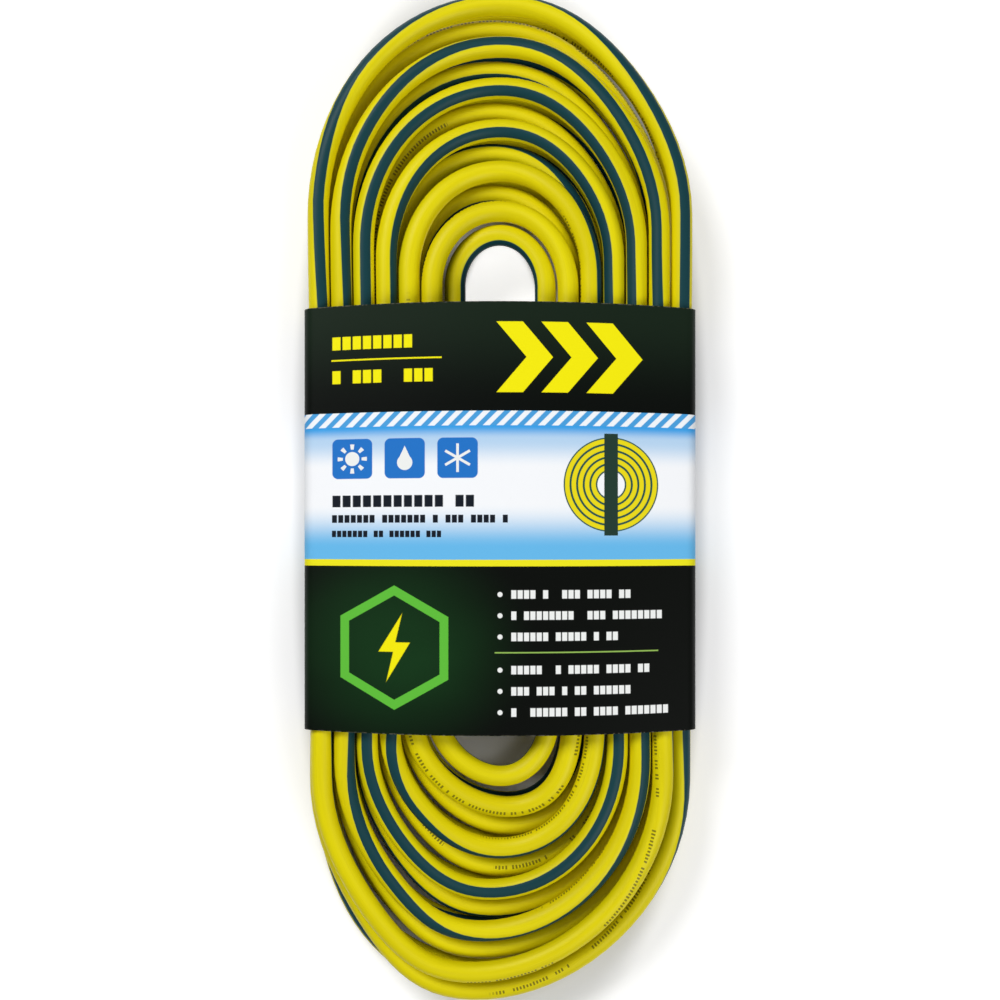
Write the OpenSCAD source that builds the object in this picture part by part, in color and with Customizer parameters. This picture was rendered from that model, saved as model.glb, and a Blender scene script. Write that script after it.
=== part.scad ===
// Outdoor extension cord, wound into a long flat hank and held by a card sleeve.
// +X runs across the hank, +Y along it, +Z up; the sleeve's back lies on z = 0
// and the origin is under the middle of the whole.

/* [Cord] */
// Diameter of the three-core cord
cord_d = 8.1; // [7.9:0.05:8.3]
// Air between neighbouring turns of one layer
turn_gap = 0.62; // [0.56:0.02:1]
// Air between one layer and the next
layer_gap = 0.56; // [0.5:0.02:0.8]
// Diameter of one insulated core
core_d = 2.7; // [2.4:0.05:2.9]

/* [Hank] */
// Turns in each of the four layers
layer_turns = 5; // [4:1:6]
// Turns by which the last layer winds on inward, over the plug and the connector
extra_turns = 1.5; // [0.5:1:1.5]
// Reach of the innermost full turn's folds from the middle of the hank
fold_reach = 114.5; // [110:0.5:125]
// Spacing of one layer's turns at the folds
fold_step = 16; // [15.8:0.1:18]
// Spacing at the folds of the turns that wind on inward
inner_fold_step = 8.8; // [8.6:0.1:9.6]
// Depth of the innermost full turn's folds
fold_depth = 33; // [31:0.5:36]
// Growth of the folds' depth from one turn to the next
fold_depth_step = 10.4; // [10:0.1:11]
// How far the sleeve draws each side of the hank in
waist_in = 1.2; // [0.8:0.1:3]
// How far a layer sinks at the folds between the turns of the one below it
nest_depth = 2.4; // [1.5:0.1:2.6]
// Sideways lean of the innermost lower fold
lean_inner = 7; // [4:0.5:8]
// How much the lean falls from one turn to the next, outward
lean_step = 3.4; // [2.5:0.1:3.6]
// How far the two upper layers are drawn in at the lower left
lower_left_in = 6; // [0:0.5:8]
// How far the two upper layers are drawn in at the upper right
upper_right_in = 4; // [0:0.5:6]
// Height from which the last turn comes down to the plug
last_drop = 9; // [7:0.5:10]

/* [Sleeve] */
// Thickness of the card
card_t = 0.6; // [0.4:0.1:0.8]
// Length of the sleeve at its middle
sleeve_len = 164; // [150:1:176]
// How much shorter the sleeve is at its sides
sleeve_end_bow = 1.9; // [0.5:0.1:3]
// Offset of the sleeve's middle from the hank's
sleeve_y = -8; // [-14:1:0]
// Rise of the front panel's crown above the bends
sleeve_crown = 6; // [1:0.5:10]
// Air between the sleeve and the hank at each side
sleeve_side_gap = 0.5; // [0.3:0.05:2]
// Air between the sleeve and the hank, above and below
sleeve_gap = 0.3; // [0.3:0.05:0.6]
// Width of the card's glued overlap
flap_w = 30; // [20:1:40]
// Thickness of the card where it overlaps
flap_t = 0.4; // [0.3:0.05:0.6]

/* [Plug and connector] */
// Width of the plug and of the connector at the face
body_w = 24.3; // [23.6:0.1:25.5]
// Height of the plug and of the connector at the face
body_h = 25.2; // [24.4:0.1:25.6]
// Air beside the two bodies
body_gap = 0.6; // [0.4:0.1:1]
// Place of both faces along the hank
face_y = -68; // [-72:1:-62]
// Length of the plug's moulded body
plug_len = 36; // [34:0.5:40]
// Length of the connector's moulded body
connector_len = 43; // [41:0.5:46]
// Corner radius of the bodies at the face
body_corner_r = 5.5; // [4:0.5:7]
// Length of the strain reliefs
relief_len = 24; // [22:0.5:28]
// Diameter of a strain relief where it leaves the body
relief_root_d = 14.4; // [13.6:0.2:15.4]
// Diameter of a strain relief at its tip
relief_tip_d = 11.2; // [10.6:0.2:12]
// Width of the slots across a strain relief
relief_slot_w = 1.6; // [1.2:0.1:2]
// Grip ribs on each side of a body
rib_count = 4; // [3:1:5]
// Spacing of the grip ribs
rib_pitch = 2.8; // [2.4:0.1:3.2]

/* [Blades and contacts] */
// Spacing of the two blades
blade_spacing = 12.7; // [12.4:0.1:13]
// Width of a blade
blade_w = 6.35; // [6.1:0.05:6.5]
// Thickness of a blade
blade_t = 1.5; // [1.4:0.05:1.6]
// Length of a blade outside the face
blade_len = 17.8; // [16.5:0.1:18.3]
// Diameter of the hole through a blade
blade_hole_d = 3.2; // [2.8:0.1:3.6]
// Width of the blades' tails and of the contacts' tails
tail_w = 4.1; // [3.4:0.1:4.6]
// Distance of the ground pin from the blades' line
ground_offset = 11.9; // [11.6:0.1:12.1]
// Diameter of the ground pin
ground_d = 4.76; // [4.6:0.02:4.84]
// Length of the ground pin outside the face
ground_len = 20.6; // [19.5:0.1:21]
// Diameter of the ground pin's shank inside the plug
ground_shank_d = 3; // [2.6:0.1:3.6]
// Diameter of the connector's ground hole
ground_hole_d = 5.1; // [5:0.02:5.3]
// Depth of the ground hole ahead of its contact
ground_hole_len = 14; // [12:0.5:15]
// Opening of the connector's line slot
line_slot_w = 7; // [6.8:0.1:7.3]
// Opening of the connector's wider neutral slot
neutral_slot_w = 8.4; // [8:0.1:8.6]
// Thickness of the contacts' sheet metal
contact_t = 0.5; // [0.4:0.05:0.6]

/* [Inside the ends] */
// Length of the bridge that holds the plug's blades
bridge_len = 9; // [8:0.5:10]
// Length of the insert that holds the connector's contacts
insert_len = 28; // [27:0.5:29]
// Length of the crimps
crimp_len = 6.5; // [5.5:0.5:7]
// Diameter of the indicator lamp
lamp_d = 4.2; // [3.6:0.1:4.4]
// Length of the indicator lamp
lamp_len = 8; // [7:0.5:9]

/* [Hidden] */
$fn = 48;

YELLOW = [0.88, 0.82, 0.06];
GREEN = [0.16, 0.55, 0.22];
CLEAR_GREEN = [0.2, 0.75, 0.3, 0.6];
CARD = [0.06, 0.08, 0.07];
CARD_BACK = [0.72, 0.68, 0.6];
NYLON = [0.85, 0.85, 0.8];
BRASS = [0.8, 0.65, 0.3];
TIN = [0.75, 0.76, 0.78];

// ---- the hank's turns -------------------------------------------------
// A turn is counted from the middle of the right-hand run: a sixth of it is
// that run, a third the upper fold, a sixth the left-hand run and a third the
// lower fold. A turn's rank is 0 at the eye and layer_turns at the outside;
// it grows and falls again by one in each turn, and changes layer where it
// reverses, along the right-hand run.
LAYERS = 4;
RINGS_PER_TURN = 24;
TUBE_SIDES = 6;
RUN_PART = 1 / 12;
FOLD_PART = 1 / 2 - 2 * RUN_PART;
CLIMB_PART = 1 / 4;
// from this rank inward the turns lie over the plug and the connector
FIRST_RANK_IN = -0.25;
// these turns' folds are this much deeper for their reach, and lean this much back
INNER_DEPTH_SHARE = 1.14;
INNER_LEAN_STEP = 6;
// the folds sink at their ends only, and not where the turns lie over the plug
SINK_POWER = 4;
SINK_FADE = 1.5;
cord_r = cord_d / 2;
pitch = cord_d + turn_gap;
layer_step = cord_d + layer_gap;
total_turns = LAYERS * layer_turns + extra_turns;
hank_floor = card_t + flap_t + sleeve_gap;
eye_w = 2 * body_w + 3 * body_gap;
inner_half = (eye_w + cord_d) / 2 + waist_in;
// the two sides are half a turn apart, so this share of a pitch centres them
side_shift = (1 / 2 - RUN_PART) * pitch;
hank_half_w = inner_half + (layer_turns - 1 / 2) * pitch + cord_r;

function smooth(t) = let (c = min(1, max(0, t))) c * c * (3 - 2 * c);
function mix(a, b, t) = a * (1 - t) + b * t;
function sum(list) = list * [for (x = list) 1];

function rank(u) =
    let (k = floor(u / layer_turns), back = u - k * layer_turns)
    k >= LAYERS ? LAYERS * layer_turns - u : k % 2 == 0 ? back : layer_turns - back;
function layer(u) =
    sum([for (k = [1:LAYERS - 1]) smooth((u - k * layer_turns) / CLIMB_PART + 1 / 2)]);

function reach_at(r) =
    fold_reach + fold_step * max(r, FIRST_RANK_IN) + inner_fold_step * min(r - FIRST_RANK_IN, 0);
function depth_at(r) =
    fold_depth + fold_depth_step * max(r, FIRST_RANK_IN)
        + inner_fold_step * INNER_DEPTH_SHARE * min(r - FIRST_RANK_IN, 0);
function run_at(r) = reach_at(r) - depth_at(r);
function right_at(r) = inner_half + r * pitch - side_shift;
function left_at(r) = inner_half + (r - 1 / 2) * pitch + side_shift;
function lean_at(r) = lean_inner - lean_step * max(r, 0) + INNER_LEAN_STEP * min(r, 0);
function drawn_in(s) = waist_in * (1 + cos(180 * s)) / 2;

// height of a layer where it has sunk by the share s of nest_depth: the first
// lies flat, the next two keep their step, and the last sinks once more
function layer_z(k, s) = k * layer_step - nest_depth * s * (k == 0 ? 0 : k == LAYERS - 1 ? 2 : 1);
function height_at(u, fold) =
    let (
        s = pow(fold, SINK_POWER) * smooth((rank(u) + 1) / SINK_FADE),
        l = layer(u), k = floor(l),
        above = layer_z(min(LAYERS - 1, k + 1), s)
    )
    hank_floor + cord_r + mix(layer_z(k, s), above, l - k)
        - last_drop * smooth((u - total_turns) * 2 + 1);

// the pull on a fold's shoulder, strongest halfway up it
function shoulder(a) = a < 90 ? pow(sin(2 * a), 2) : 0;

function turn_point(u) =
    let (
        t = u - floor(u), r = rank(u),
        right = right_at(r), left = left_at(r),
        mid = (right - left) / 2, half = (right + left) / 2,
        upper = smooth(layer(u) - 1) * max(r, 0) / layer_turns
    )
    t < RUN_PART || t >= 1 - RUN_PART
        ? let (s = (t < 1 / 2 ? t : t - 1) / RUN_PART)
            [right - drawn_in(s), run_at(r) * s, height_at(u, 0)]
    : t < 1 / 2 - RUN_PART
        ? let (a = 180 * (t - RUN_PART) / FOLD_PART)
            [mid + half * cos(a) - upper_right_in * upper * shoulder(a),
             run_at(r) + depth_at(r) * sin(a), height_at(u, sin(a))]
    : t < 1 / 2 + RUN_PART
        ? let (s = (1 / 2 - t) / RUN_PART)
            [-left + drawn_in(s), run_at(r) * s, height_at(u, 0)]
    : let (a = 180 * (t - 1 / 2 - RUN_PART) / FOLD_PART)
            [mid - half * cos(a) + lean_at(r) * pow(sin(a), 2) + lower_left_in * upper * shoulder(a),
             -run_at(r) - depth_at(r) * sin(a), height_at(u, sin(a))];

// ---- the plug and the connector in the eye ----------------------------
plug_x = -side_shift - (body_gap + body_w) / 2;
connector_x = -side_shift + (body_gap + body_w) / 2;
body_z = hank_floor + body_h / 2;
plug_end_y = face_y + plug_len + relief_len;
connector_end_y = face_y + connector_len + relief_len;

// ---- the cord's whole route -------------------------------------------
LEAD_STEPS = 9;
LEAD_PULL = 34;
first_u = RUN_PART;
last_u = total_turns - RUN_PART;
winding = [
    for (k = [0:round((last_u - first_u) * RINGS_PER_TURN)]) turn_point(first_u + k / RINGS_PER_TURN)
];

function unit(v) = v / norm(v);
function curve(a, toward_a, b, toward_b, t) =
    a * pow(1 - t, 3) + (a + toward_a) * 3 * t * pow(1 - t, 2)
        + (b - toward_b) * 3 * t * t * (1 - t) + b * pow(t, 3);
// from a strain relief's tip one diameter straight out, then to the end of a run
function lead(tip, run_end) =
    let (out = tip + [0, cord_d, 0], pull = [0, LEAD_PULL, 0])
    concat([tip], [for (k = [0:LEAD_STEPS - 1]) curve(out, pull, run_end, pull, k / LEAD_STEPS)]);
function backward(list) = [for (k = [len(list) - 1:-1:0]) list[k]];

route = concat(
    lead([connector_x, connector_end_y, body_z], winding[0]),
    winding,
    backward(lead([plug_x, plug_end_y, body_z], winding[len(winding) - 1]))
);

// ---- measures of the route, printed -----------------------------------
NEAR_RINGS = 4;
function segment_distance(p, a, b) =
    let (d = b - a, t = min(1, max(0, (p - a) * d / (d * d)))) norm(p - a - d * t);
function route_length(list) = sum([for (k = [1:len(list) - 1]) norm(list[k] - list[k - 1])]);
function least_gap(list) = min([
    for (i = [0:len(list) - 1 - NEAR_RINGS])
        min([for (j = [i + NEAR_RINGS:len(list) - 1]) segment_distance(list[i], list[j - 1], list[j])])
]) - cord_d;

// ---- a tube along a list of points ------------------------------------
function along(list, k) =
    k == 0 ? unit(list[1] - list[0])
    : k == len(list) - 1 ? unit(list[k] - list[k - 1])
    : unit(unit(list[k + 1] - list[k]) + unit(list[k] - list[k - 1]));
function ring(centre, dir, r, n, square_to) =
    let (side = unit(cross(dir, square_to)), up = cross(side, dir))
    [for (s = [0:n - 1]) let (a = 360 * s / n) centre + r * (side * cos(a) + up * sin(a))];

// its rings' sides start square to a line that it never runs along
module tube(list, r, n = TUBE_SIDES, square_to = [0, 0, 1]) {
    last = len(list) - 1;
    points = [for (k = [0:last]) each ring(list[k], along(list, k), r, n, square_to)];
    walls = [
        for (k = [0:last - 1]) for (s = [0:n - 1])
            let (a = k * n + s, b = k * n + (s + 1) % n)
            each [[a, b, b + n], [a, b + n, a + n]]
    ];
    caps = [
        for (s = [1:n - 2]) each [[0, s + 1, s], [last * n, last * n + s, last * n + s + 1]]
    ];
    polyhedron(points, concat(walls, caps));
}

module cord_hank() {
    echo(cord_length_mm = route_length(route));
    echo(least_gap_mm = least_gap(route), turns = total_turns, rings = len(route));
    color(YELLOW) tube(route, cord_r);
}

// ---- the card sleeve ---------------------------------------------------
sleeve_half_w = hank_half_w + sleeve_side_gap + card_t;
sleeve_top = hank_floor + (LAYERS - 1) * layer_step + cord_d + sleeve_gap + card_t;
// the card bends round the outermost turns
sleeve_bend_r = cord_r + sleeve_gap + card_t;
CROWN_FN = 360;
BOW_FN = 720;

module panel_section(half_w, low, high, r, crown) {
    for (x = [-1, 1]) for (z = [low + r, high - r]) translate([x * (half_w - r), z]) circle(r);
    translate([-half_w, low + r]) square([2 * half_w, high - low - 2 * r]);
    translate([r - half_w, low]) square([2 * (half_w - r), high - low]);
    crown_half = half_w - r;
    crown_r = (crown_half * crown_half + crown * crown) / (2 * crown);
    intersection() {
        translate([0, high + crown - crown_r]) circle(crown_r, $fn = CROWN_FN);
        translate([-crown_half, high - r]) square([2 * crown_half, r + crown]);
    }
}

// everything between the sleeve's two gently bowed ends
module between_bowed_ends() {
    bow_r = (sleeve_half_w * sleeve_half_w + sleeve_end_bow * sleeve_end_bow) / (2 * sleeve_end_bow);
    intersection_for (way = [-1, 1])
        translate([0, sleeve_y + way * (sleeve_len / 2 - bow_r), -sleeve_top])
            cylinder(r = bow_r, h = 3 * sleeve_top, $fn = BOW_FN);
}

module sleeve_wrap() color(CARD) intersection() {
    translate([0, sleeve_y + sleeve_len / 2, 0]) rotate([90, 0, 0]) linear_extrude(sleeve_len)
        difference() {
            panel_section(sleeve_half_w, 0, sleeve_top, sleeve_bend_r, sleeve_crown);
            panel_section(sleeve_half_w - card_t, card_t, sleeve_top - card_t, sleeve_bend_r - card_t,
                sleeve_crown);
        }
    between_bowed_ends();
}

// the card's end, glued inside the back panel under the eye
module sleeve_glue_flap() color(CARD_BACK) intersection() {
    translate([-flap_w / 2, sleeve_y - sleeve_len / 2, card_t]) cube([flap_w, sleeve_len, flap_t]);
    between_bowed_ends();
}

// ---- what the two moulded ends share -----------------------------------
// Here y runs back from the face and the axis is the middle of the body.
// room between a piece and the mould around it
MOULD_FIT = 0.1;
// how far a cut runs past the surface that it opens
THROUGH = 1;
// the blades and the ground pin lie centred in the body's height
blade_z = -(ground_offset + (ground_d - blade_w) / 2) / 2;
ground_z = blade_z + ground_offset;
at_line = [-blade_spacing / 2, 0, blade_z];
at_neutral = [blade_spacing / 2, 0, blade_z];
at_ground = [0, 0, ground_z];

module place_plug() translate([plug_x, face_y, body_z]) children();
module place_connector() translate([connector_x, face_y, body_z]) children();

// a rod along y
module rod(r, from, to, grow = 0) {
    translate([0, to + grow, 0]) rotate([90, 0, 0]) cylinder(r = r + grow, h = to - from + 2 * grow);
}

// a rod along y from a flat end to a round tip, which has a small flat in its middle
DOME_STEPS = 6;
DOME_ARC = 78;
module round_ended_rod(r, from, to, grow = 0) {
    straight = abs(to - from) - r;
    dome = [
        for (k = [0:DOME_STEPS])
            let (a = DOME_ARC * k / DOME_STEPS) [0, straight] + (r + grow) * [cos(a), sin(a)]
    ];
    tip = dome[DOME_STEPS].y;
    translate([0, from, 0]) rotate([to > from ? -90 : 90, 0, 0]) rotate_extrude()
        polygon(concat([[0, -grow], [r + grow, -grow]], dome, [[0, tip]]));
}

// a block with rounded edges from the face back; grown, it opens the face too
module insert_block(w, h, r, length, grow = 0) {
    ahead = grow > 0 ? THROUGH : 0;
    translate([0, length + grow, 0]) rotate([90, 0, 0]) linear_extrude(length + grow + ahead) {
        for (x = [-1, 1]) for (z = [-1, 1]) translate([x * (w / 2 - r), z * (h / 2 - r)]) circle(r + grow);
        square([w + 2 * grow, h - 2 * r], center = true);
        square([w - 2 * r, h + 2 * grow], center = true);
    }
}

// a body keeps its section for a share of its length, then narrows to the relief's root
NECK_FROM = 0.4;
NECK_POWER = 2.2;
NECK_STEPS = 8;
FACE_BEVEL = 0.6;
SHOULDER = 0.3;
function necked(front, length, y) =
    let (t = max(0, y / length - NECK_FROM) / (1 - NECK_FROM))
    mix(front, relief_root_d / 2 + SHOULDER, pow(t, NECK_POWER));
function half_outline(front, length) = concat(
    [[front - FACE_BEVEL, 0], [front, FACE_BEVEL]],
    [for (k = [0:NECK_STEPS])
        let (y = length * mix(NECK_FROM, 1, k / NECK_STEPS)) [necked(front, length, y), y]]
);
function both_sides(half) = concat(half, [for (k = [len(half) - 1:-1:0]) [-half[k].x, half[k].y]]);

RIB_D = 1.6;
RIB_SINK = 0.3;
RIB_LEN = 11;
RIBS_FROM = 0.46;
// upright grip ribs on both sides of a body
module grip_ribs(length) {
    for (k = [0:rib_count - 1]) for (side = [-1, 1]) {
        y = length * RIBS_FROM + k * rib_pitch;
        translate([side * (necked(body_w / 2, length, y) - RIB_SINK), y, -RIB_LEN / 2])
            cylinder(d = RIB_D, h = RIB_LEN);
    }
}

// the outline from above and the one from the side, cut by one turned about the axis
module body_form(length) {
    half_w = body_w / 2;
    half_h = body_h / 2;
    corner = norm([half_w - body_corner_r, half_h - body_corner_r]) + body_corner_r;
    intersection() {
        insert_block(body_w, body_h, body_corner_r, length);
        translate([0, 0, -half_h]) linear_extrude(body_h) polygon(both_sides(half_outline(half_w, length)));
        rotate([0, 90, 0]) translate([0, 0, -half_w]) linear_extrude(body_w)
            polygon(both_sides(half_outline(half_h, length)));
        rotate([-90, 0, 0]) rotate_extrude()
            polygon(concat([[0, 0]], half_outline(corner, length), [[0, length]]));
    }
    grip_ribs(length);
}

// the tapered relief, slotted from alternate sides so that it bends
RELIEF_SLOTS = 5;
RELIEF_PLAIN = 2.4;
RELIEF_WALL = 0.9;
// how far the relief is rooted in the body
RELIEF_ROOT = 1;
module relief_form(from) {
    slot_pitch = (relief_len - RELIEF_PLAIN - relief_slot_w) / RELIEF_SLOTS;
    wall_r = cord_r + RELIEF_WALL;
    reach = relief_root_d;
    difference() {
        translate([0, from - RELIEF_ROOT, 0]) rotate([-90, 0, 0])
            cylinder(r1 = relief_root_d / 2, r2 = relief_tip_d / 2, h = RELIEF_ROOT + relief_len);
        for (k = [0:RELIEF_SLOTS - 1]) for (half_turn = [0, 180])
            translate([0, from + RELIEF_PLAIN + k * slot_pitch, 0]) rotate([0, k % 2 * 90 + half_turn, 0])
                translate([wall_r, 0, -reach / 2]) cube([reach, relief_slot_w, reach]);
    }
}

// where each insulated core leaves the jacket, and where each crimp sits: line, neutral, ground
CORE_SIDES = 8;
CORE_STUB = 1.5;
CORE_ROOM = 0.22;
core_ring_r = core_d / 2 + CORE_ROOM;
core_places = [for (a = [210, 330, 90]) core_ring_r * [cos(a), 0, sin(a)]];
crimp_places = [at_line, at_neutral, at_ground];

// the cores from their crimps back to their places in the jacket
module cores(which, crimps_y, jacket_y, grow = 0) {
    for (k = which) {
        from = crimp_places[k] + [0, crimps_y + crimp_len, 0];
        to = core_places[k] + [0, jacket_y, 0];
        stub = [0, CORE_STUB, 0];
        past = [0, grow, 0];
        tube([from - past, from + stub, to - stub, to + past], core_d / 2 + grow, CORE_SIDES);
    }
}

CRIMP_WALL = 0.75;
DIMPLE_R = 1;
DIMPLE_DEPTH = 0.5;
crimp_r = core_d / 2 + CRIMP_WALL;
module crimps(crimps_y, grow = 0) {
    for (p = crimp_places) translate(p) difference() {
        rod(crimp_r, crimps_y, crimps_y + crimp_len, grow);
        if (grow == 0)
            translate([0, crimps_y + crimp_len / 2, crimp_r + DIMPLE_R - DIMPLE_DEPTH]) sphere(DIMPLE_R);
    }
}

// ---- the plug -----------------------------------------------------------
BRIDGE_WALL_X = 3;
BRIDGE_WALL_Z = 2.7;
BRIDGE_R = 3;
BRIDGE_TO_CRIMP = 2.5;
JACKET_HOLD = 2;
plug_crimps_y = bridge_len + BRIDGE_TO_CRIMP;
plug_jacket_y = plug_len - JACKET_HOLD;

HOLE_TO_TIP = 2.6;
BLADE_BEVEL = 2;
EDGE_BEVEL = 0.6;
// one blade with its bevelled tip, its hole and its tail through the bridge
module blade(grow = 0) {
    t = blade_t + 2 * grow;
    difference() {
        union() {
            translate([-t / 2, -blade_len, -blade_w / 2 - grow])
                cube([t, blade_len + bridge_len / 2 + grow, blade_w + 2 * grow]);
            translate([-t / 2, 0, -tail_w / 2 - grow]) cube([t, plug_crimps_y + grow, tail_w + 2 * grow]);
        }
        if (grow == 0) {
            translate([-t, blade_hole_d + HOLE_TO_TIP - blade_len, 0]) rotate([0, 90, 0])
                cylinder(d = blade_hole_d, h = 2 * t);
            for (side = [-1, 1]) translate([0, -blade_len, side * blade_w / 2]) rotate([45, 0, 0])
                cube([2 * t, BLADE_BEVEL, BLADE_BEVEL], center = true);
            for (side = [-1, 1]) translate([side * t / 2, -blade_len, 0]) rotate([0, 0, 45])
                cube([EDGE_BEVEL, EDGE_BEVEL, 2 * blade_w], center = true);
        }
    }
}

// the ground pin stands on the face; its thinner shank runs through the bridge
module ground_pin(grow = 0) {
    if (grow == 0) round_ended_rod(ground_d / 2, 0, -ground_len);
    rod(ground_shank_d / 2, -grow, plug_crimps_y, grow);
}

module plug_inside(grow) {
    translate(at_line) blade(grow);
    translate(at_neutral) blade(grow);
    translate(at_ground) ground_pin(grow);
}

module bridge_block(grow = 0)
    insert_block(body_w - 2 * BRIDGE_WALL_X, body_h - 2 * BRIDGE_WALL_Z, BRIDGE_R, bridge_len, grow);

module plug_overmould() color(GREEN) place_plug() difference() {
    union() {
        body_form(plug_len);
        relief_form(plug_len);
    }
    bridge_block(MOULD_FIT);
    plug_inside(MOULD_FIT);
    crimps(plug_crimps_y, MOULD_FIT);
    cores([0, 1, 2], plug_crimps_y, plug_jacket_y, MOULD_FIT);
    rod(cord_r + MOULD_FIT, plug_jacket_y - MOULD_FIT, plug_len + relief_len + THROUGH);
}
module plug_bridge() color(NYLON) place_plug() difference() {
    bridge_block();
    plug_inside(MOULD_FIT);
}
module plug_line_blade() color(BRASS) place_plug() translate(at_line) blade();
module plug_neutral_blade() color(TIN) place_plug() translate(at_neutral) blade();
module plug_ground_pin() color(BRASS) place_plug() translate(at_ground) ground_pin();
module plug_crimps() color(TIN) place_plug() crimps(plug_crimps_y);
module plug_line_wire() color("black") place_plug() cores([0], plug_crimps_y, plug_jacket_y);
module plug_neutral_wire() color("white") place_plug() cores([1], plug_crimps_y, plug_jacket_y);
module plug_ground_wire() color("green") place_plug() cores([2], plug_crimps_y, plug_jacket_y);
module plug_jacket_end() color(YELLOW) place_plug() rod(cord_r, plug_jacket_y, plug_len + relief_len);

// ---- the connector --------------------------------------------------------
INSERT_WALL = 2.5;
CONTACT_FROM = 4;
CONTACT_PLAY = 0.2;
SLOT_PLAY = 0.3;
GRIP = 0.05;
INSERT_TO_CRIMP = 1.6;
JACKET_BACK = 1;
CONTACT_BEHIND = 6;
contact_len = insert_len - CONTACT_FROM - CONTACT_BEHIND;
slot_t = blade_t + 2 * SLOT_PLAY;
spring_gap = blade_t - 2 * GRIP;
cavity_t = spring_gap + 2 * contact_t + 4 * CONTACT_PLAY;
connector_crimps_y = insert_len + INSERT_TO_CRIMP;
connector_jacket_y = connector_len + JACKET_BACK;

// a folded strip that grips a blade from both sides, and its tail
module blade_contact(slot_w) {
    h = slot_w - 2 * SLOT_PLAY;
    from = CONTACT_FROM + CONTACT_PLAY;
    to = CONTACT_FROM + contact_len;
    for (side = [-1, 1]) translate([side * (spring_gap + contact_t) / 2 - contact_t / 2, from, -h / 2])
        cube([contact_t, to - from, h]);
    translate([-spring_gap / 2 - contact_t, to - contact_t, -h / 2])
        cube([spring_gap + 2 * contact_t, contact_t, h]);
    translate([-contact_t / 2, to - contact_t, -tail_w / 2])
        cube([contact_t, connector_crimps_y - to + contact_t, tail_w]);
}

// a slit sleeve that grips the ground pin, and its tail
SLIT_W = 0.8;
SLIT_SHARE = 0.7;
CONTACT_TAIL_R = 0.75;
CONTACT_BACK = 2;
ground_sleeve_r = ground_d / 2 - GRIP;
ground_contact_from = ground_hole_len + CONTACT_PLAY;
ground_contact_to = insert_len - CONTACT_BACK;
module ground_contact() {
    slit = (ground_contact_to - ground_contact_from) * SLIT_SHARE;
    difference() {
        rod(ground_sleeve_r + contact_t, ground_contact_from, ground_contact_to);
        rod(ground_sleeve_r, ground_contact_from - THROUGH, ground_contact_to - contact_t);
        translate([-SLIT_W / 2, ground_contact_from - THROUGH, -ground_d])
            cube([SLIT_W, slit + THROUGH, 2 * ground_d]);
    }
    rod(CONTACT_TAIL_R, ground_contact_to, connector_crimps_y);
}

module contact_cavity(slot_w) {
    translate([-slot_t / 2, -THROUGH, -slot_w / 2]) cube([slot_t, CONTACT_FROM + 2 * THROUGH, slot_w]);
    translate([-cavity_t / 2, CONTACT_FROM, -slot_w / 2])
        cube([cavity_t, contact_len + CONTACT_PLAY, slot_w]);
    contact_tail(CONTACT_FROM, insert_len + THROUGH);
}
module contact_tail(from, to)
    translate([-contact_t / 2 - MOULD_FIT, from, -tail_w / 2 - MOULD_FIT])
        cube([contact_t + 2 * MOULD_FIT, to - from, tail_w + 2 * MOULD_FIT]);

module insert_core(grow = 0)
    insert_block(body_w - 2 * INSERT_WALL, body_h - 2 * INSERT_WALL, BRIDGE_R, insert_len, grow);

module connector_core() color(NYLON) place_connector() difference() {
    insert_core();
    translate(at_line) contact_cavity(line_slot_w);
    translate(at_neutral) contact_cavity(neutral_slot_w);
    translate(at_ground) {
        rod(ground_hole_d / 2, -THROUGH, ground_hole_len);
        rod(ground_sleeve_r + contact_t + CONTACT_PLAY, ground_hole_len, ground_contact_to + CONTACT_PLAY);
        rod(CONTACT_TAIL_R + MOULD_FIT, ground_contact_to, insert_len + THROUGH);
    }
}

// the lamp and its resistor lie either side of the ground crimp
LAMP_GAP = 1.2;
LAMP_DROP = 0.75;
RESISTOR_GAP = 2;
RESISTOR_R = 1.1;
RESISTOR_LEN = 5;
lamp_r = lamp_d / 2;
lamp_y = connector_crimps_y + MOULD_FIT;
lamp_place = [crimp_r + LAMP_GAP + lamp_r, lamp_y, ground_z - LAMP_DROP];
resistor_place = [-crimp_r - RESISTOR_GAP - RESISTOR_R, lamp_y, ground_z - LAMP_DROP];

module lamp(grow = 0) translate(lamp_place) round_ended_rod(lamp_r, 0, lamp_len, grow);
module resistor(grow = 0) translate(resistor_place) rod(RESISTOR_R, 0, RESISTOR_LEN, grow);

LEAD_R = 0.35;
LEAD_OUT = 0.8;
LEAD_OVER = 2;
LEAD_SPREAD = 0.8;
LEAD_ON_CRIMP = 0.8;
module leads(grow = 0) {
    resistor_back = resistor_place + [0, RESISTOR_LEN, 0];
    ahead = [0, -LEAD_OUT, 0];
    over_crimp = crimp_r + LEAD_R;
    across = [1, 0, 0];
    leg = LEAD_SPREAD * [1, 0, -1];
    // the lamp's two legs: one over the ground tail to the resistor, one down to the neutral crimp
    tube([lamp_place - leg, lamp_place - leg + ahead, [0, lamp_y - LEAD_OUT, ground_z + LEAD_OVER],
        resistor_place + ahead, resistor_place], LEAD_R + grow);
    tube([lamp_place + leg, lamp_place + leg + ahead,
        at_neutral + [LEAD_SPREAD, lamp_y + LEAD_ON_CRIMP, over_crimp]], LEAD_R + grow, square_to = across);
    // the resistor's other leg, down to the line crimp
    tube([resistor_back, resistor_back - ahead, at_line + [0, resistor_back.y, over_crimp]],
        LEAD_R + grow, square_to = across);
}

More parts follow.
